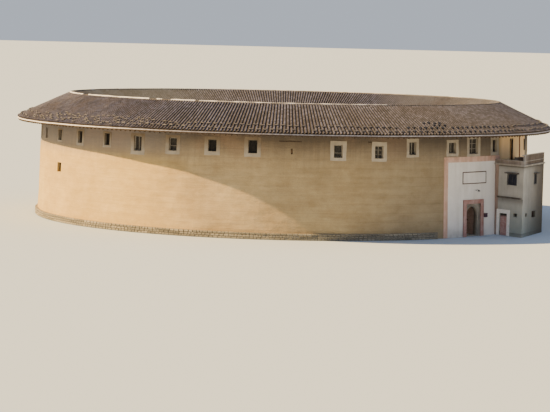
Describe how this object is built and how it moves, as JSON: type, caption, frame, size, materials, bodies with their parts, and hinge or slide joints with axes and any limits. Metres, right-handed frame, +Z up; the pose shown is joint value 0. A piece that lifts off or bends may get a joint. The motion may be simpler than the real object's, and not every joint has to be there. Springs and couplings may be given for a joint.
{
  "type": "tulou roundhouse, 1:2 scale model",
  "caption": "Round rammed-earth house of three storeys around an open court, with a tiled ring roof, a plastered arched gate and a small cement annex; a half-size model.",
  "frame": {"origin": "On the ground at the middle of the courtyard, which is the bottom centre of the bounding box.", "axes": "+Z is up; -Y is the front that the picture looks at, and +X is to its right."},
  "size_m": [26.2446, 26.2446, 5.97],
  "materials": {
    "rammed_earth": "matte",
    "field_stone": "rough",
    "roof_tile": "matte",
    "lime": "matte",
    "timber": "weathered",
    "white_plaster": "matte",
    "red_wash": "matte",
    "cement_render": "matte",
    "gate_boards": "weathered",
    "door_paint": "satin",
    "white_paint": "matte"
  },
  "bodies": {
    "house": {"annex_door_frame": "white_paint", "annex_parapet": "cement_render", "annex_roof_slab": "cement_render", "annex_upper_floor": "cement_render", "annex_wall_back": "cement_render", "annex_wall_left": "cement_render", "annex_wall_right": "cement_render", "earth_wall_1": "rammed_earth", "earth_wall_2": "rammed_earth", "earth_wall_3": "rammed_earth", "earth_wall_4": "rammed_earth", "earth_wall_5": "rammed_earth", "earth_wall_6": "rammed_earth", "earth_wall_7": "rammed_earth", "earth_wall_8": "rammed_earth", "earth_wall_9": "rammed_earth", "eave_board": "lime", "gallery_frame_1": "timber", "gallery_frame_2": "timber", "gallery_frame_3": "timber", "gallery_frame_4": "timber", "gate_arch": "cement_render", "gate_plaster": "white_plaster", "gate_surround": "red_wash", "gate_threshold": "field_stone", "gate_wall_left": "rammed_earth", "gate_wall_over": "rammed_earth", "gate_wall_right": "rammed_earth", "lime_ridge": "lime", "name_plaque": "white_plaster", "red_border": "red_wash", "second_floor_1": "timber", "second_floor_2": "timber", "second_floor_3": "timber", "stone_footing_1": "field_stone", "stone_footing_2": "field_stone", "stone_footing_3": "field_stone", "third_floor_1": "timber", "third_floor_2": "timber", "third_floor_3": "timber", "tiled_roof_1": "roof_tile", "tiled_roof_2": "roof_tile", "tiled_roof_3": "roof_tile", "tiled_roof_4": "roof_tile", "tiled_roof_5": "roof_tile", "tiled_roof_6": "roof_tile"},
    "left_gate_leaf": {"gate_leaf_left": "gate_boards"},
    "right_gate_leaf": {"gate_leaf_right": "gate_boards"},
    "annex_door": {"annex_door_leaf": "door_paint"}
  },
  "joints": [
    {"name": "left_gate_hinge", "type": "hinge", "parent": "house", "child": "left_gate_leaf", "pos_m": [8.1724, -8.4848, 0.05], "axis": [0, 0, 1], "range_deg": [-90, 0]},
    {"name": "right_gate_hinge", "type": "hinge", "parent": "house", "child": "right_gate_leaf", "pos_m": [8.7923, -7.8406, 0.05], "axis": [0, 0, 1], "range_deg": [0, 90]},
    {"name": "annex_door_hinge", "type": "hinge", "parent": "house", "child": "annex_door", "pos_m": [10.0809, -7.3031, 0], "axis": [0, 0, 1], "range_deg": [0, 90]}
  ]
}
